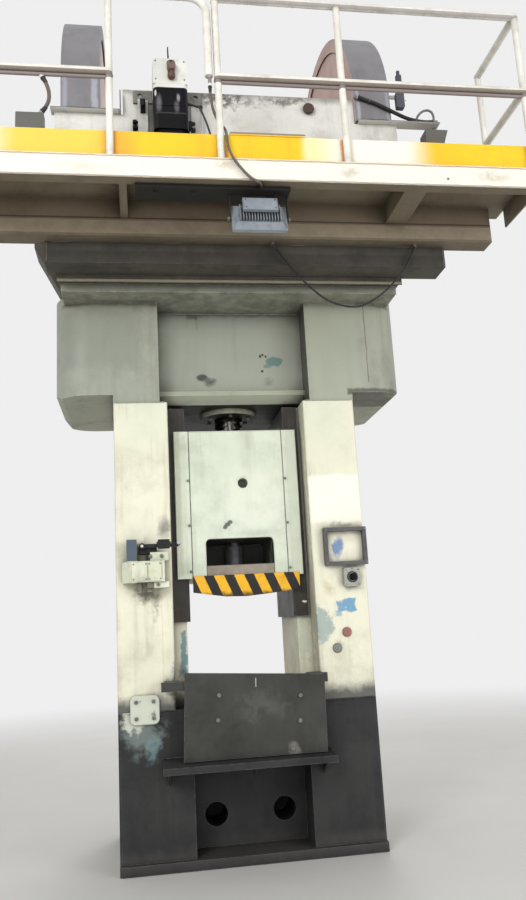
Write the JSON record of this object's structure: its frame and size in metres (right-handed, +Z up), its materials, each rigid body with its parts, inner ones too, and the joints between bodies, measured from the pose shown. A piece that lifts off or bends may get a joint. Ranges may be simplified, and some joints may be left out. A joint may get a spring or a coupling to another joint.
{
  "type": "friction screw press",
  "caption": "Friction screw press with a bed, columns, a crown, a guided slide, a flywheel between hooded friction discs, and a walkway with railing in front of the drive",
  "frame": {"origin": "On the floor under the screw's axis, in the middle of the bed's underside", "axes": "+X to the operator's right along the disc shaft, +Y from the operator into the press, +Z up along the screw"},
  "size_m": [3.6036, 2.9824, 5.7979],
  "materials": {
    "bed_paint": "matt, worn, greasy",
    "column_paint": "semi-gloss, grimy, chipped",
    "crown_paint": "matt, stained",
    "slide_paint": "semi-gloss, stained",
    "machined_steel": "machined, oily",
    "dark_steel": "oily",
    "guide_steel": "scraped, oily",
    "bronze": "machined",
    "flywheel_iron": "as cast, edges machined",
    "disc_primer": "matt",
    "friction_lining": "matt, pressed fibre",
    "hood_sheet": "matt, light edges",
    "head_frame_paint": "matt, dusty",
    "platform_paint": "matt, dusty",
    "toe_board_paint": "semi-gloss, faded",
    "railing_paint": "semi-gloss",
    "striped_paint": "matt, sooty edge",
    "lamp_aluminium": "die cast",
    "black_steel": "satin",
    "unit_black": "glossy",
    "unit_white": "semi-gloss",
    "zinc_plate": "zinc plated",
    "belt_rubber": "matt",
    "motor_paint": "semi-gloss",
    "trip_switch_paint": "matt, dusty",
    "guard_sheet_paint": "matt, smudged",
    "grey_rubber": "matt, dusty",
    "clear_tube": "clear, dusty",
    "cover_metal": "worn"
  },
  "bodies": {
    "frame": {"bed": "bed_paint", "table_plate": "machined_steel", "columns": "column_paint", "crown": "crown_paint", "tie_rods": "dark_steel", "screw_nut": "bronze", "guide_rails": "guide_steel", "bearing_housings": "head_frame_paint", "bearing_bushes": "bronze", "disc_hoods": "hood_sheet", "flywheel_guard": "guard_sheet_paint", "junction_boxes": "cover_metal", "drip_plate": "crown_paint", "head_frame": "head_frame_paint", "platform_frame": "platform_paint", "toe_board": "toe_board_paint", "railings": "railing_paint", "lamp_rail": "black_steel", "service_unit_body": "unit_black", "service_unit_head": "unit_white", "service_unit_bracket": "zinc_plate", "apron_plate": "bed_paint", "apron_bar": "bed_paint", "ledge_plate": "bed_paint", "square_holder": "column_paint", "switch_box": "cover_metal", "column_covers": "cover_metal", "trip_switch_box": "trip_switch_paint", "shift_cylinder": "motor_paint", "motor_shelf": "head_frame_paint", "motor": "motor_paint", "drive_belt": "belt_rubber", "brake_bracket": "head_frame_paint", "frame_bolts": "zinc_plate", "lamp_lead": "grey_rubber", "hanging_cable": "belt_rubber", "hood_hose": "belt_rubber", "box_hose": "grey_rubber", "unit_cable": "belt_rubber", "unit_tube": "clear_tube"},
    "ram": {"slide": "slide_paint", "guide_shoes": "slide_paint", "shank_clamp": "machined_steel", "striped_guard": "striped_paint", "thrust_pad": "bronze", "screw_retainer": "slide_paint", "slide_bolts": "zinc_plate"},
    "screw_and_flywheel": {"screw": "machined_steel", "flywheel": "flywheel_iron", "friction_band": "friction_lining"},
    "knockout": {"knockout_rod": "machined_steel"},
    "shift_carriage": {"shift_yoke": "machined_steel"},
    "disc_assembly": {"disc_shaft": "machined_steel", "friction_discs": "disc_primer", "shaft_pulley": "flywheel_iron"},
    "motor_rotor": {"motor_pulley": "machined_steel"},
    "brake": {"brake_shoe": "friction_lining"},
    "lamp": {"lamp_head": "lamp_aluminium"},
    "selector": {"switch_knob": "unit_black"},
    "trip": {"trip_lever": "zinc_plate"}
  },
  "joints": [
    {"name": "ram_travel", "type": "slide", "parent": "frame", "child": "ram", "axis": [0, 0, 1], "range_m": [-0.4, 0]},
    {"name": "screw_turn", "type": "hinge", "parent": "ram", "child": "screw_and_flywheel", "pos_m": [0, 0, 4], "axis": [0, 0, 1], "range_deg": [-900, 0]},
    {"name": "knockout_travel", "type": "slide", "parent": "ram", "child": "knockout", "axis": [0, 0, 1], "range_m": [-0.06, 0]},
    {"name": "shaft_shift", "type": "slide", "parent": "frame", "child": "shift_carriage", "axis": [1, 0, 0], "range_m": [-0.0037, 0.0037]},
    {"name": "shaft_spin", "type": "hinge", "parent": "shift_carriage", "child": "disc_assembly", "pos_m": [0, 0, 4.805], "axis": [1, 0, 0], "continuous": true},
    {"name": "motor_spin", "type": "hinge", "parent": "frame", "child": "motor_rotor", "pos_m": [0.995, 1.23, 3.985], "axis": [1, 0, 0], "continuous": true},
    {"name": "brake_travel", "type": "slide", "parent": "frame", "child": "brake", "axis": [0, -1, 0], "range_m": [0, 0.005]},
    {"name": "lamp_tilt", "type": "hinge", "parent": "frame", "child": "lamp", "pos_m": [0.08, -1.385, 3.697], "axis": [1, 0, 0], "range_deg": [-25, 25]},
    {"name": "selector_turn", "type": "hinge", "parent": "frame", "child": "selector", "pos_m": [0.697, -0.56, 1.651], "axis": [0, 1, 0], "range_deg": [-45, 45]},
    {"name": "trip_lever_turn", "type": "hinge", "parent": "frame", "child": "trip", "pos_m": [-0.64, -0.58, 1.896], "axis": [0, -1, 0], "range_deg": [-8, 20], "stiffness_Nm_per_rad": 25, "springref_deg": 1.43}
  ],
  "couplings": [
    {"joint": "ram_travel", "follows": "screw_turn", "m_per_rad": 0.025465},
    {"joint": "motor_spin", "follows": "shaft_spin", "ratio": 5}
  ]
}
